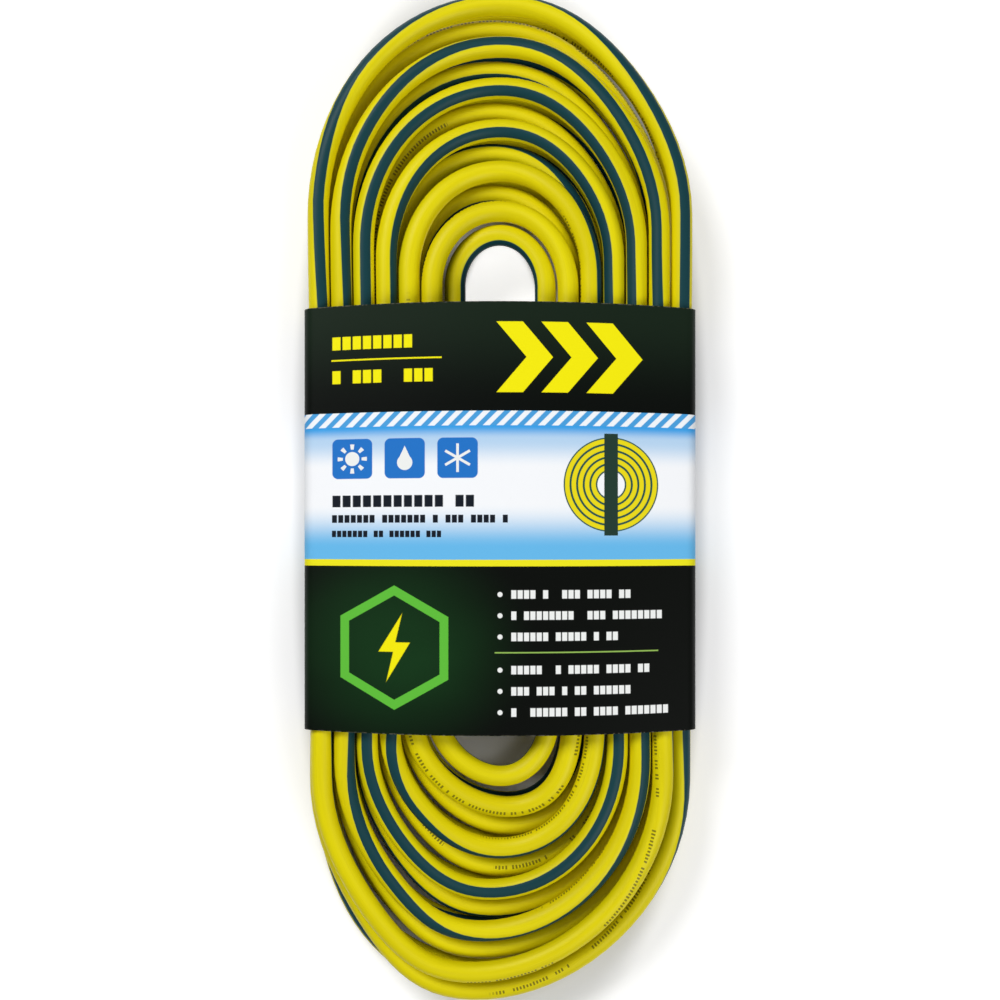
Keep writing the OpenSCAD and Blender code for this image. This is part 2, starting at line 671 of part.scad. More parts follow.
module connector_overmould() color(CLEAR_GREEN) place_connector() difference() {
    union() {
        body_form(connector_len);
        relief_form(connector_len);
    }
    insert_core(MOULD_FIT);
    crimps(connector_crimps_y, MOULD_FIT);
    for (p = [at_line, at_neutral]) translate(p) contact_tail(insert_len, connector_crimps_y);
    translate(at_ground) rod(CONTACT_TAIL_R + MOULD_FIT, insert_len, connector_crimps_y);
    cores([0, 1, 2], connector_crimps_y, connector_jacket_y, MOULD_FIT);
    rod(cord_r + MOULD_FIT, connector_jacket_y - MOULD_FIT, connector_len + relief_len + THROUGH);
    lamp(MOULD_FIT);
    resistor(MOULD_FIT);
    leads(MOULD_FIT);
}
module connector_line_contact()
    color(BRASS) place_connector() translate(at_line) blade_contact(line_slot_w);
module connector_neutral_contact()
    color(TIN) place_connector() translate(at_neutral) blade_contact(neutral_slot_w);
module connector_ground_contact() color(BRASS) place_connector() translate(at_ground) ground_contact();
module connector_crimps() color(TIN) place_connector() crimps(connector_crimps_y);
module connector_line_wire()
    color("black") place_connector() cores([0], connector_crimps_y, connector_jacket_y);
module connector_neutral_wire()
    color("white") place_connector() cores([1], connector_crimps_y, connector_jacket_y);
module connector_ground_wire()
    color("green") place_connector() cores([2], connector_crimps_y, connector_jacket_y);
module connector_jacket_end()
    color(YELLOW) place_connector() rod(cord_r, connector_jacket_y, connector_len + relief_len);
module indicator_lamp() color([1, 0.55, 0.2, 0.8]) place_connector() lamp();
module lamp_resistor() color([0.8, 0.7, 0.5]) place_connector() resistor();
module lamp_leads() color(TIN) place_connector() leads();

cord_hank();
sleeve_wrap();
sleeve_glue_flap();
plug_overmould();
plug_bridge();
plug_line_blade();
plug_neutral_blade();
plug_ground_pin();
plug_crimps();
plug_line_wire();
plug_neutral_wire();
plug_ground_wire();
plug_jacket_end();
connector_overmould();
connector_core();
connector_line_contact();
connector_neutral_contact();
connector_ground_contact();
connector_crimps();
connector_line_wire();
connector_neutral_wire();
connector_ground_wire();
connector_jacket_end();
indicator_lamp();
lamp_resistor();
lamp_leads();
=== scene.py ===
"""Looks of an outdoor extension cord in its card sleeve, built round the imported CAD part.
Lengths are written in millimetres and turned into metres where objects are made. The camera, the lamps
and the heights of bumps are in metres."""
import math

import bpy
import numpy as np
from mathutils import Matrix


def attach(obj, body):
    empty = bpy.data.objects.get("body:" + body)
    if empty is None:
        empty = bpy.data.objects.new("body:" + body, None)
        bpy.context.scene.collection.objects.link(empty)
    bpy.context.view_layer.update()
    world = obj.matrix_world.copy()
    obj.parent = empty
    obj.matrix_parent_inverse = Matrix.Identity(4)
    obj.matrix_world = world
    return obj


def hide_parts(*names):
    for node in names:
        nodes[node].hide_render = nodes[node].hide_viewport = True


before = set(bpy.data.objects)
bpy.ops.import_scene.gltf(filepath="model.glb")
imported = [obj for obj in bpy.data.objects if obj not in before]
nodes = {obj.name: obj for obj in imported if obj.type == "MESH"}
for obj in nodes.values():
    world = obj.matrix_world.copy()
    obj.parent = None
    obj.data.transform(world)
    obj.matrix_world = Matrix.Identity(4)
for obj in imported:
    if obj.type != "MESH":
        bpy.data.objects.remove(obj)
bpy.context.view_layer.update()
scene = bpy.context.scene
MM = 0.001

# ---- camera: straight above, as in the photograph ------------------------------
camera_data = bpy.data.cameras.new("camera")
camera_data.sensor_width = 36.0
camera_data.lens = 62.85
camera_data.shift_y = 0.077
camera_data.clip_start = 0.05
camera_data.clip_end = 50.0
camera = bpy.data.objects.new("camera", camera_data)
camera.location = (0.0, -0.030, 0.700)
camera.rotation_euler = (0.0, 0.0, 0.0)
scene.collection.objects.link(camera)
scene.camera = camera

# ---- sizes and counts shared with the CAD source, lengths in mm -------------------
CORD_D = 8.1
TURN_GAP = 0.62
LAYER_GAP = 0.56
LAYER_TURNS = 5
EXTRA_TURNS = 1.5
FOLD_REACH = 114.5
FOLD_STEP = 16
INNER_FOLD_STEP = 8.8
FOLD_DEPTH = 33
FOLD_DEPTH_STEP = 10.4
WAIST_IN = 1.2
NEST_DEPTH = 2.4
LEAN_INNER = 7
LEAN_STEP = 3.4
LOWER_LEFT_IN = 6
UPPER_RIGHT_IN = 4
LAST_DROP = 9
CARD_T = 0.6
FLAP_T = 0.4
FLAP_W = 30
SLEEVE_LEN = 164
SLEEVE_END_BOW = 1.9
SLEEVE_Y = -8
SLEEVE_CROWN = 6
SLEEVE_SIDE_GAP = 0.5
SLEEVE_GAP = 0.3
BODY_W = 24.3
BODY_H = 25.2
BODY_GAP = 0.6
FACE_Y = -68
PLUG_LEN = 36
CONNECTOR_LEN = 43
RELIEF_LEN = 24

# fixed counts and shares of the cord's route, and the pull of its two leads
LAYERS = 4
RUN_PART = 1 / 12
FOLD_PART = 1 / 2 - 2 * RUN_PART
CLIMB_PART = 1 / 4
FIRST_RANK_IN = -0.25
INNER_DEPTH_SHARE = 1.14
INNER_LEAN_STEP = 6
SINK_POWER = 4
SINK_FADE = 1.5
LEAD_PULL = 34

# worked out from them, as the CAD source does
CORD_R = CORD_D / 2
PITCH = CORD_D + TURN_GAP
LAYER_STEP = CORD_D + LAYER_GAP
TOTAL_TURNS = LAYERS * LAYER_TURNS + EXTRA_TURNS
HANK_FLOOR = CARD_T + FLAP_T + SLEEVE_GAP
EYE_W = 2 * BODY_W + 3 * BODY_GAP
INNER_HALF = (EYE_W + CORD_D) / 2 + WAIST_IN
SIDE_SHIFT = (1 / 2 - RUN_PART) * PITCH
HANK_HALF_W = INNER_HALF + (LAYER_TURNS - 1 / 2) * PITCH + CORD_R
PLUG_X = -SIDE_SHIFT - (BODY_GAP + BODY_W) / 2
CONNECTOR_X = -SIDE_SHIFT + (BODY_GAP + BODY_W) / 2
BODY_Z = HANK_FLOOR + BODY_H / 2
PLUG_END_Y = FACE_Y + PLUG_LEN + RELIEF_LEN
CONNECTOR_END_Y = FACE_Y + CONNECTOR_LEN + RELIEF_LEN
SLEEVE_HALF_W = HANK_HALF_W + SLEEVE_SIDE_GAP + CARD_T
SLEEVE_TOP = HANK_FLOOR + (LAYERS - 1) * LAYER_STEP + CORD_D + SLEEVE_GAP + CARD_T
SLEEVE_BEND_R = CORD_R + SLEEVE_GAP + CARD_T


# ---- the cord's route, by the CAD source's formula --------------------------------
# u counts the turns from the start of the lowest layer; a whole u is the middle of a right-hand run
def smooth(t):
    """0 below 0, 1 above 1, smooth between."""
    c = min(1.0, max(0.0, t))
    return c * c * (3 - 2 * c)


def mix(a, b, t):
    return a * (1 - t) + b * t


def rank(u):
    """Turns from the innermost full turn outward; below 0 where the last turns wind on inward."""
    k = math.floor(u / LAYER_TURNS)
    back = u - k * LAYER_TURNS
    if k >= LAYERS:
        return LAYERS * LAYER_TURNS - u
    return back if k % 2 == 0 else LAYER_TURNS - back


def layer(u):
    """The layer at u, 0 the lowest; a share of the next one while the cord climbs."""
    return sum(smooth((u - k * LAYER_TURNS) / CLIMB_PART + 1 / 2) for k in range(1, LAYERS))


def reach_at(r):
    """How far the folds of rank r reach from the middle of the hank."""
    return FOLD_REACH + FOLD_STEP * max(r, FIRST_RANK_IN) + INNER_FOLD_STEP * min(r - FIRST_RANK_IN, 0)


def depth_at(r):
    """How deep the folds of rank r are, from the end of the straight run to their tip."""
    inner = INNER_FOLD_STEP * INNER_DEPTH_SHARE * min(r - FIRST_RANK_IN, 0)
    return FOLD_DEPTH + FOLD_DEPTH_STEP * max(r, FIRST_RANK_IN) + inner


def run_at(r):
    """Where the straight runs of rank r end, each way from the middle of the hank."""
    return reach_at(r) - depth_at(r)


def layer_z(k, s):
    """Height of layer k over the lowest one, where it has sunk by the share s at a fold."""
    return k * LAYER_STEP - NEST_DEPTH * s * (0 if k == 0 else 2 if k == LAYERS - 1 else 1)


def height_at(u, fold):
    """The cord's height at u, where fold is 0 on a straight run and 1 at a fold's tip."""
    s = max(fold, 0) ** SINK_POWER * smooth((rank(u) + 1) / SINK_FADE)
    full = layer(u)
    k = math.floor(full)
    height = mix(layer_z(k, s), layer_z(min(LAYERS - 1, k + 1), s), full - k)
    return HANK_FLOOR + CORD_R + height - LAST_DROP * smooth((u - TOTAL_TURNS) * 2 + 1)


def sin_d(a):
    return math.sin(math.radians(a))


def cos_d(a):
    return math.cos(math.radians(a))


def shoulder(a):
    """0 at both ends of a fold's first quarter and 1 half-way along it; 0 on its second quarter."""
    return sin_d(2 * a) ** 2 if a < 90 else 0.0


def turn_point(u):
    """The cord's centre at u: up the right run, round the upper folds, down the left, round the lower."""
    t = u - math.floor(u)
    r = rank(u)
    right = INNER_HALF + r * PITCH - SIDE_SHIFT
    left = INNER_HALF + (r - 1 / 2) * PITCH + SIDE_SHIFT
    mid, half = (right - left) / 2, (right + left) / 2
    upper = smooth(layer(u) - 1) * max(r, 0) / LAYER_TURNS
    if t < RUN_PART or t >= 1 - RUN_PART:
        s = (t if t < 1 / 2 else t - 1) / RUN_PART
        return right - WAIST_IN * (1 + cos_d(180 * s)) / 2, run_at(r) * s, height_at(u, 0)
    if t < 1 / 2 - RUN_PART:
        a = 180 * (t - RUN_PART) / FOLD_PART
        x = mid + half * cos_d(a) - UPPER_RIGHT_IN * upper * shoulder(a)
        return x, run_at(r) + depth_at(r) * sin_d(a), height_at(u, sin_d(a))
    if t < 1 / 2 + RUN_PART:
        s = (1 / 2 - t) / RUN_PART
        return -left + WAIST_IN * (1 + cos_d(180 * s)) / 2, run_at(r) * s, height_at(u, 0)
    a = 180 * (t - 1 / 2 - RUN_PART) / FOLD_PART
    lean = LEAN_INNER - LEAN_STEP * max(r, 0) + INNER_LEAN_STEP * min(r, 0)
    x = mid - half * cos_d(a) + lean * sin_d(a) ** 2 + LOWER_LEFT_IN * upper * shoulder(a)
    return x, -run_at(r) - depth_at(r) * sin_d(a), height_at(u, sin_d(a))


LEAD_STEPS = 40


def lead(tip, run_end):
    """The points from a strain relief's tip, straight out and by one smooth bend to the turns' end."""
    tip, run_end, pull = np.array(tip), np.array(run_end), np.array([0, LEAD_PULL, 0])
    out = tip + np.array([0, CORD_D, 0])
    a, b, c, d = out, out + pull, run_end - pull, run_end
    bend = [a * (1 - t) ** 3 + b * 3 * t * (1 - t) ** 2 + c * 3 * t * t * (1 - t) + d * t ** 3
            for t in (k / LEAD_STEPS for k in range(LEAD_STEPS))]
    return [tip, (tip + out) / 2] + bend


STEPS_PER_TURN = 120
first_u, last_u = RUN_PART, TOTAL_TURNS - RUN_PART
count = round((last_u - first_u) * STEPS_PER_TURN)
turns_u = [first_u + k / STEPS_PER_TURN for k in range(count + 1)]
winding = [np.array(turn_point(u)) for u in turns_u]
start = lead((CONNECTOR_X, CONNECTOR_END_Y, BODY_Z), winding[0])
end = lead((PLUG_X, PLUG_END_Y, BODY_Z), winding[-1])[::-1]
route = np.array(start + winding + end)
route_u = np.array([turns_u[0]] * len(start) + turns_u + [turns_u[-1]] * len(end))


# ---- meshes ---------------------------------------------------------------------
def unit(v):
    return v / np.linalg.norm(v, axis=-1, keepdims=True)


def new_object(name, verts, faces, materials):
    """verts in mm; one material for each slot."""
    mesh = bpy.data.meshes.new(name)
    mesh.from_pydata([tuple(p) for p in np.asarray(verts) * MM], [], faces)
    mesh.polygons.foreach_set("use_smooth", [True] * len(mesh.polygons))
    mesh.update()
    obj = bpy.data.objects.new(name, mesh)
    scene.collection.objects.link(obj)
    for m in materials:
        mesh.materials.append(m)
    return obj


TUBE_SIDES = 20
# how far the stripe sways round the section in the two lower layers, in turns
STRIPE_SWAY = 0.3

# where the stripe lies round the cord's section, in turns, at chosen places of the two upper layers:
# 0 is the outer side of a turn of the hank, a quarter its top and a half its inner side
STRIPE_PLACES = [
    (10.0, 0.60), (10.25, 0.45), (10.75, 0.50), (11.1, 0.20), (11.25, 0.07), (11.75, -0.15), (12.25, -0.10),
    (12.75, 0.05), (13.1, 0.30), (13.25, 0.40), (13.75, 0.60), (14.75, 0.80), (15.0, 1.22), (15.12, 1.20),
    (15.25, 1.05), (15.33, 1.14), (15.4, 1.26), (15.48, 1.37), (15.6, 1.55), (15.8, 1.70), (15.97, 2.05),
    (16.08, 2.31), (16.25, 2.18), (16.36, 2.29), (16.46, 2.38), (16.55, 2.43), (16.66, 2.25), (16.78, 2.04),
    (16.92, 2.16), (17.1, 2.37), (17.25, 2.33), (17.42, 2.29), (17.6, 2.25), (17.75, 2.22), (17.95, 2.24),
    (18.1, 2.37), (18.25, 2.33), (18.42, 2.40), (18.55, 2.34), (18.65, 2.14), (18.75, 2.05), (18.95, 1.98),
    (19.1, 2.08), (19.25, 1.88), (19.75, 1.75), (20.25, 1.65), (20.75, 1.55), (21.25, 1.44), (21.5, 1.42),
]


def stripe_turn(u):
    """The angle of the cord's stripe round its section, in turns."""
    first, place = STRIPE_PLACES[0]
    if u <= first:
        return place + STRIPE_SWAY * (math.sin(2.1 * (u - first)) + math.sin(0.83 * (u - first)))
    for (a, place_a), (b, place_b) in zip(STRIPE_PLACES, STRIPE_PLACES[1:]):
        if u <= b:
            return mix(place_a, place_b, smooth((u - a) / (b - a)))
    return STRIPE_PLACES[-1][1]


def cord_mesh(name, material):
    """One closed tube along the route; its UV is the mm along it and the turns round it from the stripe."""
    step = np.diff(route, axis=0)
    along = np.r_[0.0, np.cumsum(np.linalg.norm(step, axis=1))]
    ways = unit(step)
    heading = unit(np.vstack([ways[:1], ways[:-1] + ways[1:], ways[-1:]]))
    side = unit(np.cross(heading, [0.0, 0.0, 1.0]))
    up = np.cross(side, heading)
    rings, sides = len(route), TUBE_SIDES
    angle = 2 * np.pi * np.arange(sides) / sides
    ring = np.cos(angle)[None, :, None] * side[:, None] + np.sin(angle)[None, :, None] * up[:, None]
    verts = (route[:, None] + CORD_R * ring).reshape(-1, 3)
    faces, uvs = [], []
    turn = np.array([stripe_turn(u) for u in route_u])
    for i in range(rings - 1):
        for k in range(sides):
            n = (k + 1) % sides
            faces.append((i * sides + k, i * sides + n, (i + 1) * sides + n, (i + 1) * sides + k))
            lo, hi = k / sides, (k + 1) / sides
            uvs += [(along[i], lo - turn[i]), (along[i], hi - turn[i]),
                    (along[i + 1], hi - turn[i + 1]), (along[i + 1], lo - turn[i + 1])]
    for first in (0, (rings - 1) * sides):
        cap = [first + k for k in range(sides)]
        faces.append(tuple(cap if first else cap[::-1]))
        uvs += [(along[-1] if first else 0.0, 0.0)] * sides
    obj = new_object(name, verts, faces, [material])
    layer_uv = obj.data.uv_layers.new(name="UVMap")
    layer_uv.data.foreach_set("uv", np.array(uvs, dtype=np.float32).ravel())
    return obj


# steps of the sleeve's section and rows along it, and the height of the slow waves on its front, mm
BACK_STEPS = 16
BEND_POINTS = 9
SIDE_STEPS = 6
FRONT_STEPS = 40
SLEEVE_ROWS = 60
CARD_WAVE = 0.1


def sleeve_section(inset):
    """The card's closed section from the middle of the back, round by +X."""
    half, low, high, r = SLEEVE_HALF_W - inset, inset, SLEEVE_TOP - inset, SLEEVE_BEND_R - inset
    flat = half - r
    crown_r = (flat ** 2 + SLEEVE_CROWN ** 2) / (2 * SLEEVE_CROWN)
    tilt = math.asin(flat / crown_r)
    reach = flat + r * math.sin(tilt)

    def crown_z(x):
        return high + SLEEVE_CROWN - crown_r + math.sqrt(crown_r ** 2 - x ** 2)

    # the crown meets the bends, which end a little off its arc
    rise = high - r + r * math.cos(tilt) - crown_z(reach)
    right = [(flat * k / BACK_STEPS, low) for k in range(BACK_STEPS)]
    right += [(flat + r * sin_d(a), low + r - r * cos_d(a)) for a in np.linspace(0, 90, BEND_POINTS)]
    right += [(half, mix(low + r, high - r, k / SIDE_STEPS)) for k in range(1, SIDE_STEPS)]
    right += [(flat + r * math.cos(a), high - r + r * math.sin(a))
              for a in np.linspace(0, math.pi / 2 - tilt, BEND_POINTS)]
    for k in range(1, FRONT_STEPS + 1):
        x = reach * (1 - k / FRONT_STEPS)
        right.append((x, crown_z(x) + rise * (x / reach) ** 4))
    return right + [(-x, z) for x, z in right[-2:0:-1]]


def sleeve_mesh(name, printed, raw):
    """The card as one closed shell: printed outside, raw inside and along its bowed ends."""
    shells = sleeve_section(0.0), sleeve_section(CARD_T)
    n, rows = len(shells[0]), SLEEVE_ROWS
    bow_r = (SLEEVE_HALF_W ** 2 + SLEEVE_END_BOW ** 2) / (2 * SLEEVE_END_BOW)
    verts = []
    for shell in shells:
        for j in range(rows + 1):
            t = 2 * j / rows - 1
            for x, z in shell:
                reach = SLEEVE_LEN / 2 - (bow_r - math.sqrt(bow_r ** 2 - x ** 2))
                y = SLEEVE_Y + t * reach
                # slow waves on the front panel, which fade out at the bends
                wave = math.sin(x / 17 + 1.3) * math.sin(y / 21 + 0.4) + 0.5 * math.sin(x / 8 - y / 27)
                lift = CARD_WAVE * wave * smooth((z - SLEEVE_TOP + 2) / 3)
                verts.append((x, y, z + lift))
    faces, slots = [], []
    base = (rows + 1) * n
    for s in range(2):
        for j in range(rows):
            for k in range(n):
                m = (k + 1) % n
                a, b = s * base + j * n + k, s * base + j * n + m
                quad = (a, b, b + n, a + n)
                faces.append(quad[::-1] if s == 0 else quad)
                slots.append(s)
    for j in (0, rows):
        for k in range(n):
            m = (k + 1) % n
            a, b = j * n + k, j * n + m
            quad = (a, b, base + b, base + a)
            faces.append(quad if j == 0 else quad[::-1])
            slots.append(1)
    obj = new_object(name, verts, faces, [printed, raw])
    obj.data.polygons.foreach_set("material_index", slots)
    obj.data.set_sharp_from_angle(angle=math.radians(50))
    return obj


# ---- materials: a small language for shader nodes ------------------------------------
class Value:
    """A node's output that takes part in arithmetic."""

    def __init__(self, tree, socket):
        self.tree, self.socket = tree, socket

    def math(self, operation, other=None):
        node = self.tree.nodes.new("ShaderNodeMath")
        node.operation = operation
        for socket, value in zip(node.inputs, (self, other)):
            if value is not None:
                put(self.tree, socket, value)
        return Value(self.tree, node.outputs[0])

    def __add__(self, other):
        return self.math("ADD", other)

    def __sub__(self, other):
        return self.math("SUBTRACT", other)

    def __mul__(self, other):
        return self.math("MULTIPLY", other)

    def __truediv__(self, other):
        return self.math("DIVIDE", other)

    def __rsub__(self, other):
        return (self * -1.0) + other

    def rise(self, low, high):
        """0 below low, 1 above high, smooth between."""
        node = self.tree.nodes.new("ShaderNodeMapRange")
        node.interpolation_type = "SMOOTHSTEP"
        put(self.tree, node.inputs[0], self)
        node.inputs[1].default_value, node.inputs[2].default_value = low, high
        return Value(self.tree, node.outputs[0])

    def within(self, low, high, soft=0.15):
        """1 between low and high, 0 outside, with soft edges."""
        return self.rise(low - soft, low + soft) * (1.0 - self.rise(high - soft, high + soft))

    def size(self):
        return self.math("ABSOLUTE")

    def most(self, other):
        return self.math("MAXIMUM", other)


def put(tree, socket, value):
    """Links a node's output to the socket, or sets the socket to a plain value."""
    if isinstance(value, Value):
        tree.links.new(value.socket, socket)
    elif isinstance(value, bpy.types.NodeSocket):
        tree.links.new(value, socket)
    else:
        socket.default_value = value


class Paint:
    """A material with a Principled shader, and the nodes that feed it."""

    def __init__(self, name, colour, roughness, **inputs):
        self.material = bpy.data.materials.new(name)
        self.material.use_nodes = True
        self.tree = self.material.node_tree
        self.shader = self.tree.nodes["Principled BSDF"]
        self.set("Base Color", (*colour, 1.0))
        self.set("Roughness", roughness)
        for key, value in inputs.items():
            self.set(key.replace("_", " "), value)

    def set(self, key, value):
        put(self.tree, self.shader.inputs[key], value)

    def coords(self, kind="Object", scale=1000.0):
        """x, y and z of a texture coordinate; Object is in metres, so in mm by default."""
        source = self.tree.nodes.new("ShaderNodeTexCoord").outputs[kind]
        split = self.tree.nodes.new("ShaderNodeSeparateXYZ")
        self.tree.links.new(source, split.inputs[0])
        return [Value(self.tree, s) * scale for s in split.outputs]

    def vector(self, x, y, z=0.0):
        node = self.tree.nodes.new("ShaderNodeCombineXYZ")
        for socket, value in zip(node.inputs, (x, y, z)):
            put(self.tree, socket, value)
        return node.outputs[0]

    def noise(self, vector, scale, detail, roughness=0.5):
        node = self.tree.nodes.new("ShaderNodeTexNoise")
        put(self.tree, node.inputs["Vector"], vector)
        node.inputs["Scale"].default_value = scale
        node.inputs["Detail"].default_value = detail
        node.inputs["Roughness"].default_value = roughness
        return Value(self.tree, node.outputs[0])

    def chance(self, vector):
        """A random value of its own for each whole place."""
        node = self.tree.nodes.new("ShaderNodeTexWhiteNoise")
        node.noise_dimensions = "3D"
        put(self.tree, node.inputs["Vector"], vector)
        return Value(self.tree, node.outputs["Value"])

    def blend(self, share, a, b):
        node = self.tree.nodes.new("ShaderNodeMix")
        node.data_type = "RGBA"
        put(self.tree, node.inputs[0], share)
        for socket, colour in ((node.inputs[6], a), (node.inputs[7], b)):
            put(self.tree, socket, (*colour, 1.0) if isinstance(colour, tuple) else colour)
        return node.outputs[2]

    def bump(self, height, distance, strength):
        node = self.tree.nodes.new("ShaderNodeBump")
        node.inputs["Strength"].default_value = strength
        node.inputs["Distance"].default_value = distance
        put(self.tree, node.inputs["Height"], height)
        self.set("Normal", node.outputs[0])


def srgb(r, g, b):
    """A colour in 0 to 255, made linear."""
    shares = (r / 255, g / 255, b / 255)
    return tuple(c / 12.92 if c <= 0.04045 else ((c + 0.055) / 1.055) ** 2.4 for c in shares)


YELLOW = srgb(231, 217, 4)
DULL_YELLOW = srgb(219, 204, 3)
SHADED_YELLOW = srgb(176, 158, 8)
STRIPE_TEAL = srgb(20, 63, 70)
STRIPE_RIM = srgb(166, 186, 70)
MARK_INK = srgb(78, 74, 18)

# lengths of one plain mark and of a group of them along the jacket, mm
MARK_PITCH = 1.35
WORD_LEN = 11.0


def cord_paint():
    """Yellow vinyl with one dark stripe and a row of small plain marks."""
    paint = Paint("cord_jacket", YELLOW, 0.45, Specular_IOR_Level=0.16)
    along, around, _ = paint.coords("UV", 1.0)
    turn = around * (2 * math.pi)
    facing = turn.math("COSINE")
    grain = paint.noise(paint.vector(along * 0.02, around * 90.0), 1.0, 3.0)
    patches = paint.noise(paint.vector(along * 0.013, facing, turn.math("SINE")), 1.0, 2.0)
    yellow = paint.blend(patches.rise(0.3, 0.7), DULL_YELLOW, YELLOW)
    yellow = paint.blend(grain.rise(0.55, 0.8) * 0.3, yellow, SHADED_YELLOW)

    # the stripe lies where the cosine of the angle from its middle is near 1
    edge = facing + (grain - 0.5) * 0.016
    colour = paint.blend(edge.rise(0.81, 0.845) * 0.45, yellow, STRIPE_RIM)
    colour = paint.blend(edge.rise(0.85, 0.875), colour, STRIPE_TEAL)

    # the marks come in groups, with stretches that have none
    cell = along / MARK_PITCH
    kind = paint.chance(paint.vector(cell.math("FLOOR"), 3.0))
    word = paint.noise(paint.vector((along / WORD_LEN).math("FLOOR"), 7.0), 3.7, 0.0).rise(0.4, 0.42)
    line = paint.noise(paint.vector(along * 0.006, 2.0), 1.0, 0.0).rise(0.44, 0.46)
    off = ((around - 0.4).math("PINGPONG", 0.5) * CORD_D * math.pi).size()
    tall = kind * 0.35 + 0.55
    mark = (tall - off).rise(-0.05, 0.12) * cell.math("FRACT").within(0.2, 0.72, 0.1)
    colour = paint.blend(mark * kind.rise(0.15, 0.16) * word * line * 0.8, colour, MARK_INK)

    paint.set("Base Color", colour)
    paint.set("Roughness", grain * 0.12 + 0.38)
    paint.bump(grain * 0.5 + patches, 0.00012, 0.5)
    return paint.material


# ---- the card's print ----------------------------------------------------------------
# how far below the top of the bends the shapes on the front stop, and the slants turn down
FRONT_DEPTH = 4.4
SIDE_DEPTH = 4.5

# places in mm: x across from the middle, t down from the upper end
TOP_PANEL_END = 41.3
SLANTS_END = 46.8
SLANT_PITCH = 5.2
SKY_END = 97.5
LINE_END = 100.0
LEFT_MARGIN = -64
CHEVRON_T = 21
CHEVRON_W = 10
CHEVRON_SLOPE = 0.85
CHEVRON_HALF_H = 13.35
CHEVRON_PLACES = (10, 27, 44)
TILE_T = 59
TILE_PLACES = (-56, -36, -16)
TILE_FLAT_HALF = 5.4
TILE_CORNER_R = 2.25
COIL_X, COIL_T = 42, 69
COIL_PITCH = 2.5
BADGE_X, BADGE_T = -40, 131
BADGE_R = 20
BADGE_LIGHT = (8, 56)
ROWS_X = 4
ROW_H = 3.2
PRINT_EDGE = 0.12

# where one colour of a band fades into the next, in t
TOP_FADE = (2, 40)
BLUE_FADE = (47, 52)
WHITE_FADE = (52, 63)
LOW_SKY_FADE = (76, 93)

# rows of plain blocks: upper edge, height, number of cells, width of a cell, seed
TOP_ROWS = ((12, 5, 8, 3.9, 1.0), (25, 5, 10, 3.9, 2.0))
SKY_ROWS = ((73, 4.5, 14, 3.9, 3.0), (80.5, 3, 28, 2.4, 5.0), (86.5, 2.5, 21, 2.0, 6.0))
# the lower panel's rows: upper edge, number of cells
LOWER_ROWS = ((109, 19), (117, 24), (125, 17), (137.5, 22), (145.5, 19), (153.5, 25))

GOLD = srgb(246, 236, 10)
INK = srgb(22, 28, 38)
PALE = srgb(240, 242, 240)


class Print(Paint):
    """The card's print, laid on shape by shape. A shape is a share, 1 inside it and 0 outside."""

    def __init__(self):
        super().__init__("sleeve_print", (0.01, 0.01, 0.01), 0.5, Specular_IOR_Level=0.08)
        self.x, y, self.z = self.coords()
        # t is stretched with the bowed ends, so the bands bow as the ends do
        bow = (self.x * self.x) * (SLEEVE_END_BOW / SLEEVE_HALF_W ** 2)
        self.t = SLEEVE_LEN / 2 - (y - SLEEVE_Y) / (1.0 - bow / (SLEEVE_LEN / 2))
        edge_z = SLEEVE_TOP - FRONT_DEPTH
        self.front = self.z.rise(edge_z - 0.2, edge_z + 0.2)
        self.grain = self.noise(self.vector(self.x, y, self.z), 0.8, 3.0)
        self.colour = None

    def lay(self, share, tint):
        """Prints a shape on the front panel."""
        self.colour = self.blend(share * self.front, self.colour, tint)

    def past(self, at):
        """Everything farther down the card than that."""
        return self.t.rise(at - 0.1, at + 0.1)

    def box(self, x0, x1, t0, t1):
        return self.x.within(x0, x1, PRINT_EDGE) * self.t.within(t0, t1, PRINT_EDGE)

    def distance(self, cx, ct):
        dx, dt = self.x - cx, self.t - ct
        return (dx * dx + dt * dt).math("SQRT")

    def disc(self, cx, ct, r):
        return 1.0 - self.distance(cx, ct).rise(r - PRINT_EDGE, r + PRINT_EDGE)

    def blocks(self, x0, t0, tall, count, width, seed):
        """A row of plain blocks in groups of uneven length."""
        cell = (self.x - x0) / width
        on = self.chance(self.vector(cell.math("FLOOR"), seed)).rise(0.2, 0.21)
        row = self.box(x0, x0 + count * width, t0, t0 + tall)
        return row * cell.math("FRACT").within(0.1, 0.9, 0.05) * on

    def bolt(self, cx, ct, r):
        """A bolt between four slanted edges, in shares of r from its middle."""
        u, v = (self.x - cx) / r, (self.t - ct) / r

        def right_of(u0, v0, slope):
            return (u - u0 + (v - v0) * slope).rise(-0.01, 0.01)

        high_left, high_right = right_of(0.15, -0.65, 0.616), 1.0 - right_of(0.15, -0.65, 0.236)
        low_left, low_right = right_of(-0.02, 0.08, 0.228), 1.0 - right_of(0.30, -0.10, 0.6)
        above, below = 1.0 - v.rise(-0.11, -0.09), v.rise(0.07, 0.09)
        middle = (1.0 - above) * (1.0 - below)
        upper, lower = high_left * high_right * above, low_left * low_right * below
        return upper + high_left * low_right * middle + lower


def union(shares):
    """Everything that one of the shapes covers."""
    first, *others = shares
    for other in others:
        first = first.most(other)
    return first


